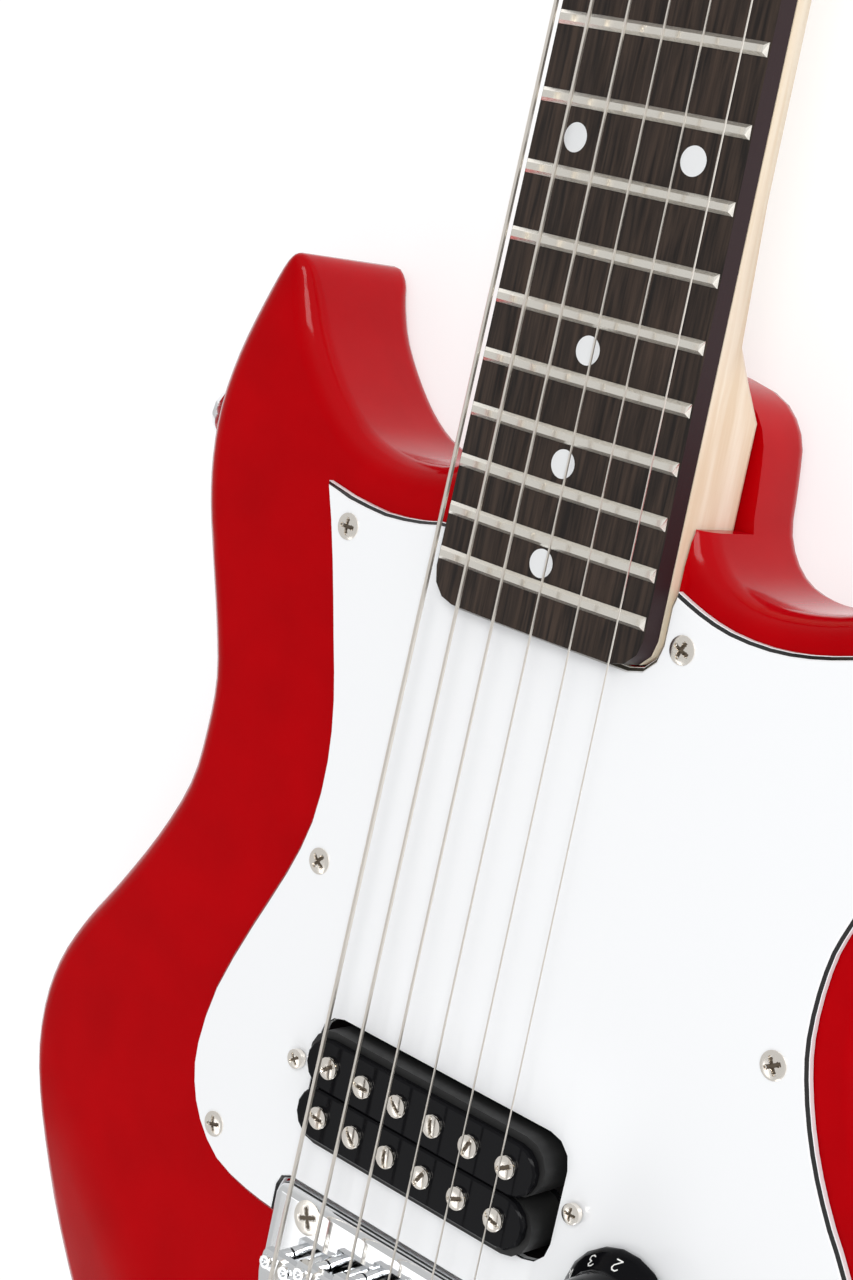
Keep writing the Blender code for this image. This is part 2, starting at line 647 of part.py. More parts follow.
def make_saddle(index, x):
    """Block saddle on two grub screws, its top falling away behind the string's crest."""
    y = SADDLE_SET[index]
    crest = SADDLE_Z[index] - STRING_D[index] / 2 - GAP
    under = crest - SADDLE_H
    foot = PLATE_TOP + 0.4
    side = ((SADDLE_NOSE, under), (SADDLE_NOSE, crest - 0.9), (SADDLE_NOSE - 0.7, crest - 0.35),
            (1.2, crest - 0.04), (0, crest), (-1.2, crest - 0.15), (-4.5, crest - 0.9),
            (-SADDLE_TAIL, crest - 2.0), (-SADDLE_TAIL, foot),
            (-SADDLE_TAIL + SADDLE_LUG_T, foot), (-SADDLE_TAIL + SADDLE_LUG_T, under))
    edge = 0.5
    half = SADDLE_W / 2
    middle = np.array([(y + dy, z) for dy, z in side])
    rings = []
    for offset, shrink in ((-half, edge), (-half + edge, 0), (half - edge, 0), (half, edge)):
        loop = inset(anticlockwise(middle), shrink)
        rings.append(np.column_stack([np.full(len(loop), x + offset), loop]))
    saddle = stack(f"saddle_{STRINGS[index]}", rings, "chrome")
    for way in (-1, 1):
        grub = turned(f"tool_grub_{index}_{way}",
                      ((GRUB_R, foot - 0.1), (GRUB_R, crest + 0.7), (0.8, crest + 0.7),
                       (0.8, crest - 0.8)),
                      (x + way * GRUB_X, y + GRUB_Y, 0), (0, 0, 1), "steel", 10)
        boolean(saddle, grub, 'UNION')
    bore = turned(f"tool_saddle_bore_{index}", ((SCREW_R + GAP, -20), (SCREW_R + GAP, 6)),
                  (x, y, INTONATION_Z), (0, 1, 0), "chrome", 10)
    boolean(saddle, bore, 'DIFFERENCE')


def make_intonation_screw(index, x):
    """Long screw from the flange into the saddle's tail."""
    seat = PLATE_BACK + 0.2 - GAP
    tip = SADDLE_SET[index] - 1.0
    screw = turned(f"intonation_screw_{STRINGS[index]}",
                   ((1.5, seat - 1.8), (2.1, seat - 1.2), (2.1, seat), (SCREW_R, seat),
                    (SCREW_R, tip)), (x, 0, INTONATION_Z), (0, 1, 0), "steel", 10)
    pivot(screw, (x, seat, INTONATION_Z))


def make_pickup():
    """Two bobbins with screw poles, their coils, a bar magnet and a base plate."""
    base = PICKUP_BASE
    plan = [(-33, 28.5), (33, 28.5), (33, 36.5), (43.8, 36.5), (43.8, 46.5), (33, 46.5),
            (33, 52.5), (-33, 52.5), (-33, 46.5), (-43.8, 46.5), (-43.8, 36.5), (-33, 36.5)]
    plate = stack("pickup_baseplate", [level_ring(plan, base), level_ring(plan, base + 1.5)],
                  "nickel")
    box("pickup_magnet", (-30, 35.4, base + 1.8), (30, 45.4, base + 4.6), "steel")
    floor = base + 4.9
    middle = sum(POLE_ROWS) / 2
    for name, row in zip(("front", "rear"), POLE_ROWS):
        away = 1 if row > middle else -1
        centre = (0, middle + away * (BOBBIN_W + GAP) / 2)
        wide = stadium(centre, BOBBIN_L, BOBBIN_W, 8)
        core = stadium((0, row), 58, 5.6, 8)
        rings = [level_ring(wide, floor), level_ring(wide, floor + 1.4),
                 level_ring(core, floor + 1.4), level_ring(core, PICKUP_TOP - 1.7),
                 level_ring(wide, PICKUP_TOP - 1.7), level_ring(wide, PICKUP_TOP - 0.4),
                 level_ring(inset(wide, 0.4), PICKUP_TOP)]
        bobbin = stack(f"{name}_bobbin", rings, "black")
        for number in range(6):
            pole = turned(f"tool_pole_{name}_{number}",
                          ((POLE_R, PICKUP_TOP - 0.6), (POLE_R, PICKUP_TOP + 0.3),
                           (POLE_R - 0.6, PICKUP_TOP + 0.6)),
                          ((number - 2.5) * POLE_PITCH, row, 0), (0, 0, 1), "nickel", 12)
            boolean(bobbin, pole, 'UNION')
        outer = stadium((0, middle + away * (COIL_W + GAP) / 2), COIL_L, COIL_W, 8)
        inner = stadium((0, row), 58 + 2 * GAP, 5.6 + 2 * GAP, 8)
        low = floor + 1.4 + GAP
        high = PICKUP_TOP - 1.7 - GAP
        stack(f"{name}_coil", [level_ring(outer, low), level_ring(outer, high),
                               level_ring(inner, high), level_ring(inner, low)],
              "tape", closed=True)
    for name, way in (("bass", -1), ("treble", 1)):
        place = (way * PICKUP_SCREW_X, PICKUP_SCREW_Y, 0)
        boolean(plate, turned(f"tool_tab_hole_{name}", ((1.8, 20), (1.8, 30)), place,
                              (0, 0, 1), "nickel", 8), 'DIFFERENCE')
        head = BODY_T + GAP + GUARD_T + GAP
        screw = turned(f"pickup_screw_{name}", ((1.4, 21), (1.4, head), (2.0, head),
                                                (2.0, head + 0.8), (1.2, head + 1.3)),
                       place, (0, 0, 1), "nickel", 10)
        pivot(screw, (place[0], place[1], head))


def make_controls():
    """Two pots under the guard, each with a skirted knob on its shaft."""
    for name, (x, y) in KNOBS.items():
        case_top = BODY_T - 1.5
        turned(f"{name}_pot", ((SHAFT_R + GAP, 26.5), (SHAFT_R + GAP, KNOB_BASE + 1.2),
                               (4.2, KNOB_BASE + 1.2), (4.2, case_top), (8.0, case_top),
                               (8.0, 24.5)), (x, y, 0), (0, 0, 1), "steel", 16)
        profile = ((SHAFT_R, 27.5), (SHAFT_R, 46.0), (8.4, 46.0), (10.4, 43.0),
                   (11.8, KNOB_BASE), (KNOB_R, KNOB_BASE), (KNOB_R, KNOB_BASE + 1.2),
                   (12.2, KNOB_BASE + 2.6), (9.9, KNOB_BASE + 5.2), (9.5, KNOB_BASE + 6.0),
                   (9.0, KNOB_TOP - 0.8), (8.2, KNOB_TOP))
        knob = turned(f"{name}_knob", profile, (x, y, 0), (0, 0, 1), "black", 20)
        pivot(knob, (x, y, KNOB_BASE))


def make_jack():
    """Side jack: socket barrel, plate and ring nut in one turned piece."""
    turned("output_jack", ((4.8, -26), (4.8, GAP), (12.0, GAP), (12.0, 1.8), (6.6, 1.8),
                           (6.6, 4.0), (3.3, 4.0), (3.3, -24.5)),
           (JACK_SEAT_X, JACK_Y, JACK_Z), (1, 0, 0), "chrome", 16)


def make_strap_buttons():
    """Mushroom strap buttons on the end of the body and on the bass horn's rim."""
    profile = ((5.0, GAP), (3.4, 2.5), (3.6, 6.0), (6.8, 9.0), (6.2, 10.6), (3.0, 11.2))
    turned("strap_button_end", profile, (0, -100.0, BODY_T / 2), (0, -1, 0), "chrome", 16)
    turned("strap_button_horn", profile, (-107.3, 168.0, BODY_T / 2), (-1, 0, 0), "chrome", 16)


def tuner_places():
    """String number, side and place of each post; outer strings wind nearest the nut."""
    places = []
    for index in range(len(STRINGS)):
        side = -1 if index < 3 else 1
        row = index if index < 3 else 5 - index
        places.append((index, side, side * POST_X, POST_Y[row]))
    return places


def make_tuners():
    """Closed tuners: cast case with its bush, winding post, and worm shaft with button."""
    case_top = HEAD_BACK - GAP
    case_low = case_top - CASE_H
    worm_z = case_low + 5.6
    bush_top = HEAD_FACE + GAP + 1.6
    for index, side, x, y in tuner_places():
        name = STRINGS[index]
        block = superellipse((x, y - 1), 8.4, 9.4, 7, 16)
        small = superellipse((x, y - 1), 7.6, 8.6, 7, 16)
        rings = [level_ring(small, case_low), level_ring(block, case_low + 0.9),
                 level_ring(block, case_top)]
        for radius, z in ((3.7, case_top), (3.7, HEAD_FACE + GAP), (5.4, HEAD_FACE + GAP),
                          (5.0, bush_top), (POST_R + GAP, bush_top),
                          (POST_R + GAP, case_low + 2.4)):
            rings.append(level_ring(superellipse((x, y), radius, radius, 2, 16), z))
        case = stack(f"tuner_case_{name}", rings, "chrome")
        bore = turned(f"tool_worm_bore_{name}", ((WORM_R + GAP, 4.6), (WORM_R + GAP, 20)),
                      (x, y + WORM_DY, worm_z), (side, 0, 0), "chrome", 10)
        boolean(case, bore, 'DIFFERENCE')
        post = turned(f"tuner_post_{name}", ((POST_R, case_low + 2.8), (POST_R, 34.4),
                                             (POST_WAIST_R, 35.0), (POST_WAIST_R, 39.2),
                                             (POST_R, 39.8), (2.6, POST_TOP)),
                      (x, y, 0), (0, 0, 1), "chrome", 14)
        pivot(post, (x, y, HEAD_FACE))
        eye = turned(f"tool_post_eye_{name}", ((0.8, -6), (0.8, 6)), (x, y, 37.0),
                     (1, 0.2, 0), "chrome", 8)
        boolean(post, eye, 'DIFFERENCE')
        button = turned(f"tuner_button_{name}", ((WORM_R, 5.2), (WORM_R, 13.6), (2.6, 14.4),
                                                 (3.2, 15.6), (6.6, 17.4), (7.4, 20.0),
                                                 (7.4, 22.6), (6.4, 25.2), (3.4, 26.6)),
                        (x, y + WORM_DY, worm_z), (side, 0, 0), "chrome", 14)
        flatten_button(button, (x, y + WORM_DY, worm_z), side)
        pivot(button, (x, y + WORM_DY, worm_z))


def flatten_button(button, centre, side):
    """Presses the turned grip to a flat oval that fingers can turn."""
    for vertex in button.data.vertices:
        reach = side * (vertex.co.x / MM - centre[0])
        if reach > 14.0:
            height = vertex.co.z - centre[2] * MM
            vertex.co.z = centre[2] * MM + height * 0.52


def make_strings():
    """Each string runs ball end, flange, saddle, nut, and twice round its post."""
    back = PLATE_BACK + 0.2 - GAP
    for index, side, post_x, post_y in tuner_places():
        radius = STRING_D[index] / 2
        x = string_x(index)
        ball = 1.35
        path = [(x, back - 2.8, STRING_HOLE_Z - 0.02), (x, back - 2.5, STRING_HOLE_Z - 0.01),
                (x, back - 0.2, STRING_HOLE_Z), (x, back, STRING_HOLE_Z),
                (x, PLATE_BACK + FLANGE_T + 0.6, STRING_HOLE_Z),
                (x, SADDLE_SET[index], SADDLE_Z[index]),
                (string_x(index, at_nut=True), SCALE + NUT_T + 0.3, NUT_Z[index])]
        radii = [ball * 0.7, ball, ball, radius, radius, radius, radius]
        orbit = POST_WAIST_R + 0.5 + GAP + radius
        pitch = STRING_D[index] + 0.45
        steps = 10
        start_z = min(WRAP_Z, WRAP_Z - 0.3 + radius * 0)
        for step in range(WRAP_TURNS * steps + 1):
            turn = step / steps
            angle = 2 * math.pi * turn
            path.append((post_x - side * orbit * math.cos(angle),
                         post_y + orbit * math.sin(angle), start_z - pitch * turn))
            radii.append(radius)
        sweep(f"string_{STRINGS[index]}", path, radii, "nickel")


def main():
    clear_scene()
    make_body()
    make_neck()
    make_fretboard()
    make_nut()
    make_neck_plate()
    make_guard()
    make_bridge()
    make_pickup()
    make_controls()
    make_jack()
    make_strap_buttons()
    make_tuners()
    make_strings()


main()
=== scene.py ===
import bpy
import json
import math
import numpy as np
from mathutils import Matrix, Vector


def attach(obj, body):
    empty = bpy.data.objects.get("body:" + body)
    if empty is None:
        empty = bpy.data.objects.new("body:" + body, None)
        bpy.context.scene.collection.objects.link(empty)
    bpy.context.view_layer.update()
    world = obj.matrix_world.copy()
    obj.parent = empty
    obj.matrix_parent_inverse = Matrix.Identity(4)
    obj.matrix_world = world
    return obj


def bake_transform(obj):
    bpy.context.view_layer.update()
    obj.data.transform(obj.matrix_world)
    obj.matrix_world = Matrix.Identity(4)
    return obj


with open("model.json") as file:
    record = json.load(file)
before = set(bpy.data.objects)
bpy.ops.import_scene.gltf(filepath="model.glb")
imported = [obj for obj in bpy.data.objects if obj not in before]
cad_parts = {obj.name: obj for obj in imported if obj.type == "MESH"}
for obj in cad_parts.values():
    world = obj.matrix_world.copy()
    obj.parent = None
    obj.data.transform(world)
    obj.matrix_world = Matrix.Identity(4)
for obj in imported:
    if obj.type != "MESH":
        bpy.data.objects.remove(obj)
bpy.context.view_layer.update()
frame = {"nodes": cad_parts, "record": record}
nodes = frame["nodes"]
scene = bpy.context.scene


# Camera
# Solved from the photograph; the frame is 853 by 1280.
camera_data = bpy.data.cameras.new("camera")
camera_data.lens = 69.49
camera_data.sensor_width = 36.0
camera_data.sensor_fit = 'AUTO'
camera_data.clip_start = 0.01
camera_data.dof.use_dof = False
camera = bpy.data.objects.new("camera", camera_data)
scene.collection.objects.link(camera)
camera_right = Vector((0.72407, 0.20321, -0.65911))
camera_up = Vector((-0.28264, 0.95911, -0.01479))
camera_back = Vector((0.62916, 0.19700, 0.75190))
turn = Matrix((camera_right, camera_up, camera_back)).transposed().to_4x4()
camera.matrix_world = Matrix.Translation((0.2930, 0.2401, 0.4221)) @ turn
scene.camera = camera
scene.view_settings.view_transform = 'Standard'
scene.view_settings.look = 'None'


# Shared node group: soft mottling
# Fine noise round 1 that breaks up a flat colour or roughness.
mottle = bpy.data.node_groups.new("mottle", 'ShaderNodeTree')
mottle.interface.new_socket("Scale", in_out='INPUT', socket_type='NodeSocketFloat')
mottle.interface.new_socket("Low", in_out='INPUT', socket_type='NodeSocketFloat')
mottle.interface.new_socket("High", in_out='INPUT', socket_type='NodeSocketFloat')
mottle.interface.new_socket("Value", in_out='OUTPUT', socket_type='NodeSocketFloat')
group_in = mottle.nodes.new('NodeGroupInput')
group_out = mottle.nodes.new('NodeGroupOutput')
group_place = mottle.nodes.new('ShaderNodeTexCoord')
group_noise = mottle.nodes.new('ShaderNodeTexNoise')
group_noise.inputs["Detail"].default_value = 4.0
group_range = mottle.nodes.new('ShaderNodeMapRange')
group_range.inputs["From Min"].default_value = 0.3
group_range.inputs["From Max"].default_value = 0.7
mottle.links.new(group_place.outputs["Object"], group_noise.inputs["Vector"])
mottle.links.new(group_in.outputs["Scale"], group_noise.inputs["Scale"])
mottle.links.new(group_noise.outputs["Fac"], group_range.inputs["Value"])
mottle.links.new(group_in.outputs["Low"], group_range.inputs["To Min"])
mottle.links.new(group_in.outputs["High"], group_range.inputs["To Max"])
mottle.links.new(group_range.outputs["Result"], group_out.inputs["Value"])


# Materials: plain metals, plastics and lacquer
# Each is one Principled shader whose roughness is broken up by the mottle group.
materials = {}
PLAIN = {
    # name: colour, metallic, roughness low and high, mottle scale, specular level
    "chrome": ((0.86, 0.87, 0.88), 1.0, 0.05, 0.09, 60, 0.5),
    "nickel": ((0.95, 0.90, 0.83), 1.0, 0.14, 0.22, 500, 0.5),
    "steel": ((0.55, 0.54, 0.52), 1.0, 0.22, 0.38, 400, 0.5),
    "string_steel": ((0.86, 0.81, 0.74), 1.0, 0.30, 0.32, 300, 0.5),
    "tape": ((0.012, 0.012, 0.012), 0.0, 0.50, 0.65, 300, 0.5),
    "black": ((0.004, 0.004, 0.005), 0.0, 0.10, 0.14, 90, 0.06),
    "bone": ((0.80, 0.78, 0.70), 0.0, 0.35, 0.45, 90, 0.5),
    "digit": ((0.85, 0.85, 0.83), 0.0, 0.45, 0.55, 90, 0.5),
    "dot": ((0.72, 0.73, 0.74), 0.0, 0.30, 0.42, 200, 0.5),
    # Dark brown metal for the floors of screw crosses and pole slots: painted shade in the
    # recess.
    "painted_recess_shade": ((0.16, 0.13, 0.10), 1.0, 0.40, 0.55, 300, 0.5),
    "floor": ((0.40, 0.40, 0.405), 0.0, 0.90, 0.95, 10, 0.5)}
for name, (colour, metallic, low, high, scale, specular) in PLAIN.items():
    material = bpy.data.materials.new(name)
    material.use_nodes = True
    tree = material.node_tree
    shader = tree.nodes["Principled BSDF"]
    shader.inputs["Base Color"].default_value = (*colour, 1.0)
    shader.inputs["Metallic"].default_value = metallic
    shader.inputs["Specular IOR Level"].default_value = specular
    rough = tree.nodes.new('ShaderNodeGroup')
    rough.node_tree = mottle
    rough.inputs["Scale"].default_value = scale
    rough.inputs["Low"].default_value = low
    rough.inputs["High"].default_value = high
    tree.links.new(rough.outputs["Value"], shader.inputs["Roughness"])
    materials[name] = material


# Material: red lacquer
# A deep red under a clear coat, sprayed over the whole body. The walls are painted a
# little lighter than the face, as painted light, and inside the pickup rout the colour
# is near black, as painted shade under the pickup.
material = bpy.data.materials.new("lacquer")
material.use_nodes = True
tree = material.node_tree
shader = tree.nodes["Principled BSDF"]
shader.inputs["Roughness"].default_value = 0.10
normal = tree.nodes.new('ShaderNodeNewGeometry')
split = tree.nodes.new('ShaderNodeSeparateXYZ')
tree.links.new(normal.outputs["Normal"], split.inputs["Vector"])
facing = tree.nodes.new('ShaderNodeMapRange')
facing.inputs["From Min"].default_value = 0.0
facing.inputs["From Max"].default_value = 0.9
tree.links.new(split.outputs["Z"], facing.inputs["Value"])
gloss = tree.nodes.new('ShaderNodeMapRange')
gloss.inputs["From Min"].default_value = 0.80
gloss.inputs["From Max"].default_value = 0.99
gloss.inputs["To Min"].default_value = 0.12
gloss.inputs["To Max"].default_value = 0.04
tree.links.new(split.outputs["Z"], gloss.inputs["Value"])
tree.links.new(gloss.outputs["Result"], shader.inputs["Specular IOR Level"])
# Painted light: the normal picks a lighter red for the walls (A) than for the face (B).
painted_wall_light = tree.nodes.new('ShaderNodeMix')
painted_wall_light.data_type = 'RGBA'
painted_wall_light.inputs["A"].default_value = (0.45, 0.0, 0.004, 1.0)
painted_wall_light.inputs["B"].default_value = (0.40, 0.0, 0.002, 1.0)
tree.links.new(facing.outputs["Result"], painted_wall_light.inputs["Factor"])
patch = tree.nodes.new('ShaderNodeGroup')
patch.node_tree = mottle
patch.inputs["Scale"].default_value = 55.0
patch.inputs["Low"].default_value = 0.92
patch.inputs["High"].default_value = 1.06
shade = tree.nodes.new('ShaderNodeHueSaturation')
tree.links.new(patch.outputs["Value"], shade.inputs["Value"])
tree.links.new(painted_wall_light.outputs["Result"], shade.inputs["Color"])
place = tree.nodes.new('ShaderNodeTexCoord')
shift = tree.nodes.new('ShaderNodeVectorMath')
shift.operation = 'SUBTRACT'
shift.inputs[1].default_value = (0.0, 0.0404, 0.025)
size = tree.nodes.new('ShaderNodeVectorMath')
size.operation = 'ABSOLUTE'
reach = tree.nodes.new('ShaderNodeVectorMath')
reach.operation = 'DIVIDE'
reach.inputs[1].default_value = (0.050, 0.019, 0.013)
parts = tree.nodes.new('ShaderNodeSeparateXYZ')
wide = tree.nodes.new('ShaderNodeMath')
wide.operation = 'MAXIMUM'
most = tree.nodes.new('ShaderNodeMath')
most.operation = 'MAXIMUM'
# Painted shade: inside this box round the pickup rout the red turns near black.
in_rout = tree.nodes.new('ShaderNodeMath')
in_rout.operation = 'LESS_THAN'
in_rout.inputs[1].default_value = 1.0
dark = tree.nodes.new('ShaderNodeMix')
dark.data_type = 'RGBA'
dark.inputs["B"].default_value = (0.02, 0.015, 0.015, 1.0)
tree.links.new(place.outputs["Object"], shift.inputs[0])
tree.links.new(shift.outputs["Vector"], size.inputs[0])
tree.links.new(size.outputs["Vector"], reach.inputs[0])
tree.links.new(reach.outputs["Vector"], parts.inputs["Vector"])
tree.links.new(parts.outputs["X"], wide.inputs[0])
tree.links.new(parts.outputs["Y"], wide.inputs[1])
tree.links.new(wide.outputs["Value"], most.inputs[0])
tree.links.new(parts.outputs["Z"], most.inputs[1])
tree.links.new(most.outputs["Value"], in_rout.inputs[0])
tree.links.new(in_rout.outputs["Value"], dark.inputs["Factor"])
tree.links.new(shade.outputs["Color"], dark.inputs["A"])
tree.links.new(dark.outputs["Result"], shader.inputs["Base Color"])
materials["lacquer"] = material


# Materials: maple and rosewood
# The neck is one pale length of satin maple, the board glued on it is dark rosewood.
# Noise drawn out along the neck gives the grain; the board's pores are finer and darker.
WOODS = {
    # name: dark, light, stretch across, along and up, scale, roughness
    "maple": ((0.80, 0.65, 0.46), (0.92, 0.82, 0.66), (60, 4, 60), 6.0, 0.30),
    "rosewood": ((0.008, 0.005, 0.004), (0.046, 0.029, 0.021), (110, 6, 110), 9.0, 0.42)}
for name, (dark, light, stretch, scale, roughness) in WOODS.items():
    material = bpy.data.materials.new(name)
    material.use_nodes = True
    tree = material.node_tree
    shader = tree.nodes["Principled BSDF"]
    shader.inputs["Roughness"].default_value = roughness
    shader.inputs["Specular IOR Level"].default_value = 0.3
    place = tree.nodes.new('ShaderNodeTexCoord')
    mapping = tree.nodes.new('ShaderNodeMapping')
    mapping.inputs["Scale"].default_value = stretch
    grain = tree.nodes.new('ShaderNodeTexNoise')
    grain.inputs["Scale"].default_value = scale
    grain.inputs["Detail"].default_value = 6.0
    grain.inputs["Distortion"].default_value = 0.4
    ramp = tree.nodes.new('ShaderNodeValToRGB')
    ramp.color_ramp.elements[0].position = 0.34
    ramp.color_ramp.elements[0].color = (*dark, 1.0)
    ramp.color_ramp.elements[1].position = 0.68
    ramp.color_ramp.elements[1].color = (*light, 1.0)
    bump = tree.nodes.new('ShaderNodeBump')
    bump.inputs["Strength"].default_value = 0.15
    bump.inputs["Distance"].default_value = 0.0002
    tree.links.new(place.outputs["Object"], mapping.inputs["Vector"])
    tree.links.new(mapping.outputs["Vector"], grain.inputs["Vector"])
    tree.links.new(grain.outputs["Fac"], ramp.inputs["Fac"])
    tree.links.new(grain.outputs["Fac"], bump.inputs["Height"])
    tree.links.new(ramp.outputs["Color"], shader.inputs["Base Color"])
    tree.links.new(bump.outputs["Normal"], shader.inputs["Normal"])
    materials[name] = material


# Frets on the board
# Nineteen nickel wires pressed into slots across the board. Whatever stands above the
# board's crown is nickel; the crown falls away as X squared over CROWN_SPAN.
MM = 0.001
CROWN_SPAN = 600.0
BOARD_CREST = (41.3 + 27.2 ** 2 / CROWN_SPAN) * MM
FRET_START = 0.06 * MM
tree = materials["rosewood"].node_tree
shader = tree.nodes["Principled BSDF"]
place = tree.nodes.new('ShaderNodeTexCoord')
split = tree.nodes.new('ShaderNodeSeparateXYZ')
square = tree.nodes.new('ShaderNodeMath')
square.operation = 'MULTIPLY'
scaled = tree.nodes.new('ShaderNodeMath')
scaled.operation = 'MULTIPLY_ADD'
scaled.inputs[1].default_value = 1.0 / 0.6
above = tree.nodes.new('ShaderNodeMath')
above.operation = 'GREATER_THAN'
above.inputs[1].default_value = BOARD_CREST + FRET_START
tree.links.new(place.outputs["Object"], split.inputs["Vector"])
tree.links.new(split.outputs["X"], square.inputs[0])
tree.links.new(split.outputs["X"], square.inputs[1])
tree.links.new(square.outputs["Value"], scaled.inputs[0])
tree.links.new(split.outputs["Z"], scaled.inputs[2])
tree.links.new(scaled.outputs["Value"], above.inputs[0])
wood_colour = shader.inputs["Base Color"].links[0].from_socket
choose = tree.nodes.new('ShaderNodeMix')
choose.data_type = 'RGBA'
choose.inputs["B"].default_value = (0.97, 0.93, 0.85, 1.0)
tree.links.new(above.outputs["Value"], choose.inputs["Factor"])
# Painted shade: board faces turned towards +X take a flat darker red-brown in place of the grain.
geometry = tree.nodes.new('ShaderNodeNewGeometry')
lean = tree.nodes.new('ShaderNodeSeparateXYZ')
sideways = tree.nodes.new('ShaderNodeMath')
sideways.operation = 'GREATER_THAN'
sideways.inputs[1].default_value = 0.6
painted_side_shade = tree.nodes.new('ShaderNodeMix')
painted_side_shade.data_type = 'RGBA'
painted_side_shade.inputs["B"].default_value = (0.024, 0.010, 0.012, 1.0)
tree.links.new(geometry.outputs["Normal"], lean.inputs["Vector"])
tree.links.new(lean.outputs["X"], sideways.inputs[0])
tree.links.new(sideways.outputs["Value"], painted_side_shade.inputs["Factor"])
tree.links.new(wood_colour, painted_side_shade.inputs["A"])
tree.links.new(painted_side_shade.outputs["Result"], choose.inputs["A"])
tree.links.new(choose.outputs["Result"], shader.inputs["Base Color"])
tree.links.new(above.outputs["Value"], shader.inputs["Metallic"])
polish = tree.nodes.new('ShaderNodeMapRange')
polish.inputs["To Min"].default_value = 0.42
polish.inputs["To Max"].default_value = 0.24
tree.links.new(above.outputs["Value"], polish.inputs["Value"])
tree.links.new(polish.outputs["Result"], shader.inputs["Roughness"])


# Guard plies
# Three-ply plastic sheet screwed to the face, cut with a slanted edge: white on top, a
# black ply that shows as a line in that edge, white below.
material = bpy.data.materials.new("guard")
material.use_nodes = True
tree = material.node_tree
shader = tree.nodes["Principled BSDF"]
shader.inputs["Roughness"].default_value = 0.14
place = tree.nodes.new('ShaderNodeTexCoord')
split = tree.nodes.new('ShaderNodeSeparateXYZ')
plies = tree.nodes.new('ShaderNodeValToRGB')
plies.color_ramp.interpolation = 'CONSTANT'
plies.color_ramp.elements[0].color = (0.86, 0.87, 0.885, 1.0)
dark_ply = plies.color_ramp.elements.new(0.60)
dark_ply.color = (0.01, 0.01, 0.01, 1.0)
plies.color_ramp.elements[2].position = 0.88
plies.color_ramp.elements[2].color = (0.86, 0.87, 0.885, 1.0)
depth = tree.nodes.new('ShaderNodeMapRange')
depth.inputs["From Min"].default_value = 35.3 * MM
depth.inputs["From Max"].default_value = 37.5 * MM
tree.links.new(place.outputs["Object"], split.inputs["Vector"])
tree.links.new(split.outputs["Z"], depth.inputs["Value"])
tree.links.new(depth.outputs["Result"], plies.inputs["Fac"])
tree.links.new(plies.outputs["Color"], shader.inputs["Base Color"])
materials["guard"] = material


# Bobbins with nickel poles
# Moulded plastic bobbins with a row of screwed nickel poles each. They are glossy black
# up to their tops, and what stands above is a pole.
material = materials["black"].copy()
material.name = "bobbin"
tree = material.node_tree
shader = tree.nodes["Principled BSDF"]
place = tree.nodes.new('ShaderNodeTexCoord')
split = tree.nodes.new('ShaderNodeSeparateXYZ')
pole = tree.nodes.new('ShaderNodeMath')
pole.operation = 'GREATER_THAN'
pole.inputs[1].default_value = 43.93 * MM
choose = tree.nodes.new('ShaderNodeMix')
choose.data_type = 'RGBA'
choose.inputs["A"].default_value = (0.006, 0.006, 0.007, 1.0)
choose.inputs["B"].default_value = (0.92, 0.88, 0.81, 1.0)
tree.links.new(place.outputs["Object"], split.inputs["Vector"])
tree.links.new(split.outputs["Z"], pole.inputs[0])
tree.links.new(pole.outputs["Value"], choose.inputs["Factor"])
tree.links.new(pole.outputs["Value"], shader.inputs["Metallic"])
tree.links.new(choose.outputs["Result"], shader.inputs["Base Color"])
materials["bobbin"] = material


# Shared node group: soft edges
# Shades curved faces smooth and keeps an edge crisp where its faces turn sharply.
CRISP_ANGLE = math.radians(38)
WELD = 0.000001
soft_edges = bpy.data.node_groups.new("soft_edges", 'GeometryNodeTree')
soft_edges.interface.new_socket("Geometry", in_out='INPUT', socket_type='NodeSocketGeometry')
soft_edges.interface.new_socket("Geometry", in_out='OUTPUT', socket_type='NodeSocketGeometry')
group_in = soft_edges.nodes.new('NodeGroupInput')
group_out = soft_edges.nodes.new('NodeGroupOutput')
weld = soft_edges.nodes.new('GeometryNodeMergeByDistance')
weld.inputs["Distance"].default_value = WELD
edge_angle = soft_edges.nodes.new('GeometryNodeInputMeshEdgeAngle')
crisp = soft_edges.nodes.new('FunctionNodeCompare')
crisp.data_type = 'FLOAT'
crisp.operation = 'GREATER_THAN'
crisp.inputs["B"].default_value = CRISP_ANGLE
smooth_faces = soft_edges.nodes.new('GeometryNodeSetShadeSmooth')
smooth_faces.domain = 'FACE'
smooth_faces.inputs["Shade Smooth"].default_value = True
sharp_edges = soft_edges.nodes.new('GeometryNodeSetShadeSmooth')
sharp_edges.domain = 'EDGE'
sharp_edges.inputs["Shade Smooth"].default_value = False
soft_edges.links.new(group_in.outputs["Geometry"], weld.inputs["Geometry"])
soft_edges.links.new(weld.outputs["Geometry"], smooth_faces.inputs["Geometry"])
soft_edges.links.new(smooth_faces.outputs["Geometry"], sharp_edges.inputs["Geometry"])
soft_edges.links.new(edge_angle.outputs["Unsigned Angle"], crisp.inputs["A"])
soft_edges.links.new(crisp.outputs["Result"], sharp_edges.inputs["Selection"])
soft_edges.links.new(sharp_edges.outputs["Geometry"], group_out.inputs["Geometry"])


# Materials onto the CAD nodes
# The record says each node's slot, and a slot's name is its material's name here.
for part in frame["record"]["subparts"]:
    name = part["node"]
    look = "bobbin" if name.endswith("bobbin") else part["material_slot"]
    for material_slot in nodes[name].material_slots:
        material_slot.material = materials[look]
    softened = nodes[name].modifiers.new("soft_edges", 'NODES')
    softened.node_group = soft_edges
    weighted = nodes[name].modifiers.new("weighted", 'WEIGHTED_NORMAL')
    weighted.keep_sharp = True
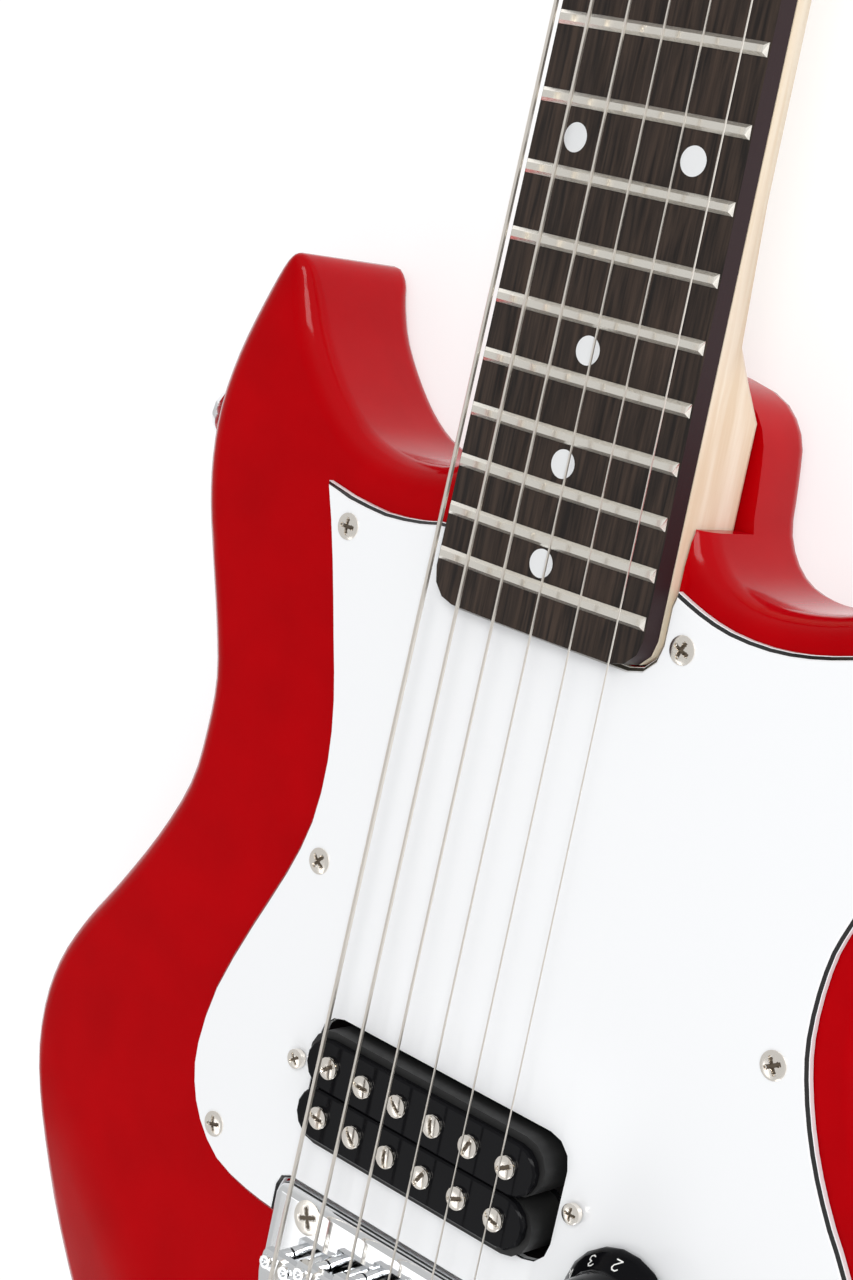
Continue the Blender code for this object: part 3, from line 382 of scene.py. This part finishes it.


# Screw heads on guard and bridge, and the slotted heads of the pickup's poles
# Nickel-plated steel, each driven home from above. A head is a polar net, domed, and
# pressed in where its cross or slot lies; the recess floor is painted dark brown, as
# painted shade. Each entry: x, y, foot, radius, body.
GUARD_TOP = 37.5
BRIDGE_TOP = 39.3
HEADS = [(x, y, GUARD_TOP, 2.9, "guitar") for x, y in (
    (-56.5, 156.4), (-45.3, 84.8), (-60.3, 16.7), (33.7, 155.7), (74.3, 87.7),
    (82.0, 160.0), (101.0, 30.0), (88.0, -26.0), (52.0, -26.0))]
HEADS += [(-26.4, 9.8, BRIDGE_TOP, 3.9, "guitar"), (26.4, 9.8, BRIDGE_TOP, 3.9, "guitar")]
HEADS += [((n - 2.5) * 10.04, row, 44.5, 2.4, "pickup") for row in (46.1, 34.7) for n in range(6)]
HEADS += [(-39.3, 41.5, 39.1, 2.15, "pickup_screw_bass"),
          (39.3, 41.5, 39.1, 2.15, "pickup_screw_treble")]
RING_COUNT = 16
SPOKES = 48
SPOKES_TURNED = 5
DOME = 0.22
PRESS = 0.19
FLUSH_DOME = 0.24
FLUSH_PRESS = 0.15
SLOT_HALF = 0.16
SLOT_REACH = 0.93
CROSS_HALF = 0.13
CROSS_REACH = 0.62


def closed_net(rows, around):
    """Four-sided faces between neighbouring rings, where each ring closes on itself."""
    row, place = np.meshgrid(np.arange(rows - 1) * around, np.arange(around), indexing="ij")
    beside = (place + 1) % around
    corners = (row + place, row + beside, row + around + beside, row + around + place)
    return np.stack(corners, axis=-1).reshape(-1, 4)


def screw_head(x, y, z, radius, carrier, spin):
    """Rings of spokes on a dome, and which of their points lie in the slot or cross.

    With s the share of the radius, the dome's height is its rise times 0.15 plus 0.85
    times the root of one less 0.9 s squared. A point in the recess drops by a fixed depth.
    """
    share, angle = np.meshgrid(np.linspace(1.0, 0.03, RING_COUNT),
                               np.arange(SPOKES) * 2 * math.pi / SPOKES, indexing="ij")
    u = np.abs(share * radius * np.cos(angle + spin))
    v = np.abs(share * radius * np.sin(angle + spin))
    if carrier == "pickup":
        pressed = (u < SLOT_HALF * radius) & (share < SLOT_REACH)
    else:
        pressed = (np.minimum(u, v) < CROSS_HALF * radius) & (share < CROSS_REACH)
    # The bridge's heads are nearly flush, so that a saddle passes over them.
    flush = z == BRIDGE_TOP
    rise = FLUSH_DOME if flush else DOME * radius
    recess = FLUSH_PRESS if flush else PRESS * radius
    height = 0.15 + 0.85 * np.sqrt(np.maximum(0.0, 1 - 0.9 * share ** 2))
    top = np.stack((x + share * radius * np.cos(angle), y + share * radius * np.sin(angle),
                    z + rise * height - recess * pressed), axis=-1)
    rim = top[:1].copy()
    rim[:, :, 2] = z - 0.9 if carrier.startswith("pickup_screw") else z + 0.02
    sunk = np.concatenate((np.zeros((1, SPOKES), dtype=bool), pressed))
    return np.concatenate((rim, top)).reshape(-1, 3), sunk.ravel()


for number, (x, y, z, radius, carrier) in enumerate(HEADS):
    spin = 2 * math.pi / SPOKES * (SPOKES_TURNED * number % SPOKES)
    points, sunk = screw_head(x, y, z, radius, carrier, spin)
    net = closed_net(RING_COUNT + 1, SPOKES)
    cap = RING_COUNT * SPOKES + np.arange(SPOKES)
    mesh = bpy.data.meshes.new(f"screw_head_{number}")
    mesh.from_pydata((points * MM).tolist(), [], net.tolist() + [cap.tolist()])
    mesh.shade_smooth()
    mesh.set_sharp_from_angle(angle=math.radians(35))
    mesh.materials.append(materials["nickel"])
    mesh.materials.append(materials["painted_recess_shade"])
    # Faces sunk into the cross or slot take the painted recess shade.
    dark = np.append(sunk[net].sum(axis=1) >= 3, sunk[cap].sum() >= 3)
    mesh.polygons.foreach_set("material_index", dark.astype(np.int32))
    head = bpy.data.objects.new(f"screw_head_{number}", mesh)
    scene.collection.objects.link(head)
    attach(head, carrier)


# Position dots on the board
# Pearly plastic discs let into the board between the frets, two of them at the octave.
# Here they lie a hair above the crown.
SCALE = 476.0
DOT_R = 2.9
DOT_LIFT = 0.03
DOT_SIDES = 28
dots = []
for fret in (3, 5, 7, 9, 12, 15, 17, 19):
    middle = (SCALE * 2 ** (-fret / 12) + SCALE * 2 ** (-(fret - 1) / 12)) / 2
    dots += [(-14.4, middle), (14.4, middle)] if fret == 12 else [(0.0, middle)]
# Rim points first, then the middle of each disc, all on the crown's arc.
angles = np.arange(DOT_SIDES) * 2 * math.pi / DOT_SIDES
centres = np.array(dots)[:, None, :]
rims = centres + DOT_R * np.column_stack((np.cos(angles), np.sin(angles)))
flat = np.concatenate((rims, centres), axis=1).reshape(-1, 2)
crown = BOARD_CREST / MM - flat[:, 0] ** 2 / CROWN_SPAN + DOT_LIFT
points = np.column_stack((flat, crown))
side = np.arange(DOT_SIDES)
fan = np.column_stack((side, (side + 1) % DOT_SIDES, np.full(DOT_SIDES, DOT_SIDES)))
faces = (np.arange(len(dots))[:, None, None] * (DOT_SIDES + 1) + fan).reshape(-1, 3)
mesh = bpy.data.meshes.new("position_dots")
mesh.from_pydata((points * MM).tolist(), [], faces.tolist())
mesh.materials.append(materials["dot"])
inlays = bpy.data.objects.new("position_dots", mesh)
scene.collection.objects.link(inlays)
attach(inlays, "guitar")


# Springs behind the saddles
# Steel wire, one coil round each intonation screw, squeezed between the flange and the
# saddle's tail. On the guitar it stretches and closes as the saddle slides; here each is
# built once, to the length that its saddle's set place leaves.
SADDLE_SET = (-2.2, 0.0, 2.0, 0.6, 1.8, 3.0)
STRING_NAMES = ("low_e", "a", "d", "g", "b", "high_e")
STRING_GAP = 10.5
SPRING_BACK = -26.6
SPRING_Z = 41.2
SPRING_R = 1.85
WIRE_R = 0.24
TURNS = 9
STEPS = 14
WIRE_SIDES = 6


def coil(x, front):
    """A wire of round section wound on a cylinder along Y, from the flange to front.

    The angle a round the coil and the place along it grow together. The section's own
    angle b moves a point outwards by its cosine and along Y by its sine.
    """
    share = np.linspace(0.0, 1.0, TURNS * STEPS + 1)[:, None]
    b = (2 * math.pi * np.arange(WIRE_SIDES) / WIRE_SIDES)[None, :]
    a = 2 * math.pi * TURNS * share
    reach = SPRING_R + WIRE_R * np.cos(b)
    return np.stack((x + reach * np.cos(a),
                     SPRING_BACK + (front - SPRING_BACK) * share + WIRE_R * np.sin(b),
                     SPRING_Z + reach * np.sin(a)), axis=-1).reshape(-1, 3)


for index, name in enumerate(STRING_NAMES):
    x = (index - 2.5) * STRING_GAP
    front = SADDLE_SET[index] - 9.3
    rows = TURNS * STEPS + 1
    net = closed_net(rows, WIRE_SIDES)[:, (0, 3, 2, 1)]
    start_cap = list(range(WIRE_SIDES))
    end_cap = [(rows - 1) * WIRE_SIDES + k for k in reversed(range(WIRE_SIDES))]
    mesh = bpy.data.meshes.new(f"saddle_spring_{name}")
    mesh.from_pydata((coil(x, front) * MM).tolist(), [], net.tolist() + [start_cap, end_cap])
    mesh.shade_smooth()
    mesh.materials.append(materials["steel"])
    spring = bpy.data.objects.new(f"saddle_spring_{name}", mesh)
    scene.collection.objects.link(spring)
    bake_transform(spring)


# Dial figures on the knob skirts
# White figures 1 to 10 printed round each skirt, tops towards the knob's middle. Each
# is a few flat strokes laid on the skirt's cone.
STROKES = {
    "0": ((0.3, 1), (0.05, 0.8), (0, 0.5), (0.05, 0.2), (0.3, 0), (0.55, 0.2), (0.6, 0.5),
          (0.55, 0.8), (0.3, 1)),
    "1": ((0.12, 0.8), (0.35, 1), (0.35, 0)),
    "2": ((0, 0.8), (0.15, 1), (0.45, 1), (0.62, 0.8), (0.55, 0.55), (0, 0), (0.65, 0)),
    "3": ((0, 0.87), (0.2, 1), (0.5, 0.97), (0.6, 0.75), (0.3, 0.55), (0.62, 0.3),
          (0.5, 0.03), (0.2, 0), (0, 0.15)),
    "4": ((0.48, 0), (0.48, 1), (0, 0.35), (0.66, 0.35)),
    "5": ((0.6, 1), (0.08, 1), (0.04, 0.58), (0.4, 0.62), (0.62, 0.32), (0.42, 0.02), (0, 0.08)),
    "6": ((0.5, 1), (0.15, 0.7), (0.02, 0.3), (0.25, 0), (0.5, 0.05), (0.6, 0.32),
          (0.35, 0.56), (0.05, 0.4)),
    "7": ((0, 1), (0.62, 1), (0.25, 0)),
    "8": ((0.3, 0.55), (0.06, 0.75), (0.2, 1), (0.42, 1), (0.55, 0.75), (0.3, 0.55),
          (0.02, 0.3), (0.2, 0), (0.42, 0), (0.6, 0.3), (0.3, 0.55)),
    "9": ((0.58, 0.6), (0.3, 0.42), (0.04, 0.65), (0.12, 0.95), (0.4, 1), (0.6, 0.7),
          (0.48, 0.2), (0.12, 0))}
FIGURE_H = 3.6
FIGURE_SHRINK = 0.62
STROKE_W = 0.27
STROKE_OVERRUN = 0.05
FIGURE_FOOT = 11.95
FIGURE_LEAN = 0.72
FIGURE_LIFT = 0.1
FIRST_FIGURE = 60
FIGURE_STEP = 31.5
SKIRT_LOW = (12.2, 41.5)
SKIRT_SLOPE = 2.6 / 2.3


def on_skirt(cx, cy, around, flat):
    """Flat points wrapped on the cone: the second number leads up and inwards, and the
    first turns round the knob by its length over the radius reached."""
    r = FIGURE_FOOT - flat[:, 1] * FIGURE_LEAN
    a = around + flat[:, 0] / r
    z = SKIRT_LOW[1] + (SKIRT_LOW[0] - r) * SKIRT_SLOPE + FIGURE_LIFT
    return np.column_stack((cx + r * np.cos(a), cy + r * np.sin(a), z))


for name, cx, cy in (("volume", 55.0, 27.6), ("tone", 84.0, 4.0)):
    bars = []
    for number in range(1, 11):
        text = str(number)
        around = math.radians(FIRST_FIGURE + FIGURE_STEP * (number - 1))
        for place_in, letter in enumerate(text):
            line = np.array(STROKES[letter]) * FIGURE_H * FIGURE_SHRINK
            line[:, 0] += (place_in - len(text) / 2) * 0.52 * FIGURE_H + 0.06 * FIGURE_H
            for start, end in zip(line, line[1:]):
                step = (end - start) / np.linalg.norm(end - start)
                side = np.array((-step[1], step[0])) * STROKE_W / 2
                over = step * STROKE_OVERRUN
                bar = np.array((start - over + side, end + over + side,
                                end + over - side, start - over - side))
                bars.append(on_skirt(cx, cy, around, bar))
    mesh = bpy.data.meshes.new(f"{name}_figures")
    mesh.from_pydata((np.concatenate(bars) * MM).tolist(), [],
                     np.arange(4 * len(bars)).reshape(-1, 4).tolist())
    mesh.materials.append(materials["digit"])
    figures = bpy.data.objects.new(f"{name}_figures", mesh)
    scene.collection.objects.link(figures)
    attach(figures, f"{name}_knob")


# Floor
# A wide pale sweep under the guitar, outside the object.
half = 4.0
mesh = bpy.data.meshes.new("floor")
mesh.from_pydata([(-half, -half, -0.0005), (half, -half, -0.0005), (half, half, -0.0005),
                  (-half, half, -0.0005)], [], [(0, 1, 2, 3)])
glow = materials["floor"].node_tree.nodes["Principled BSDF"]
glow.inputs["Emission Color"].default_value = (1.0, 1.0, 1.0, 1.0)
glow.inputs["Emission Strength"].default_value = 0.62
mesh.materials.append(materials["floor"])
floor = bpy.data.objects.new("floor", mesh)
scene.collection.objects.link(floor)


# Light
# Pale surroundings, a little darker where the face mirrors them, a soft key and fill, a
# narrow strip and a small card over the bridge.
world = bpy.data.worlds.new("studio")
scene.world = world
world.use_nodes = True
tree = world.node_tree
background = tree.nodes["Background"]
place = tree.nodes.new('ShaderNodeTexCoord')
toward = tree.nodes.new('ShaderNodeVectorMath')
toward.operation = 'DOT_PRODUCT'
toward.inputs[1].default_value = (-0.629, -0.197, 0.752)
fade = tree.nodes.new('ShaderNodeMapRange')
fade.interpolation_type = 'SMOOTHSTEP'
fade.inputs["From Min"].default_value = 0.40
fade.inputs["From Max"].default_value = 0.80
fade.inputs["To Min"].default_value = 0.72
fade.inputs["To Max"].default_value = 0.60
tree.links.new(place.outputs["Generated"], toward.inputs[0])
tree.links.new(toward.outputs["Value"], fade.inputs["Value"])
tree.links.new(fade.outputs["Result"], background.inputs["Strength"])
background.inputs["Color"].default_value = (1.0, 1.0, 1.0, 1.0)
BOXES = (
    # name, place, aim, width, length, watts
    ("key", (0.75, 0.85, 1.35), (0.0, 0.1, 0.03), 0.6, 0.6, 11.0),
    ("fill", (0.2, -1.3, 0.8), (0.0, 0.1, 0.03), 0.9, 0.9, 3.4),
    ("strip", (0.9, 0.3, 1.1), (0.0, 0.1, 0.03), 0.6, 0.03, 2.2),
    ("bridge_card", (-0.28, -0.23, 0.43), (-0.28, -0.23, 0.0), 0.16, 0.26, 0.13))
for name, place_at, aim_at, width, length, watts in BOXES:
    lamp = bpy.data.lights.new(name, 'AREA')
    lamp.shape = 'RECTANGLE'
    lamp.size = width
    lamp.size_y = length
    lamp.energy = watts
    lamp_object = bpy.data.objects.new(name, lamp)
    lamp_object.location = place_at
    aim = Vector(aim_at) - Vector(place_at)
    lamp_object.rotation_euler = aim.to_track_quat('-Z', 'Y').to_euler()
    scene.collection.objects.link(lamp_object)
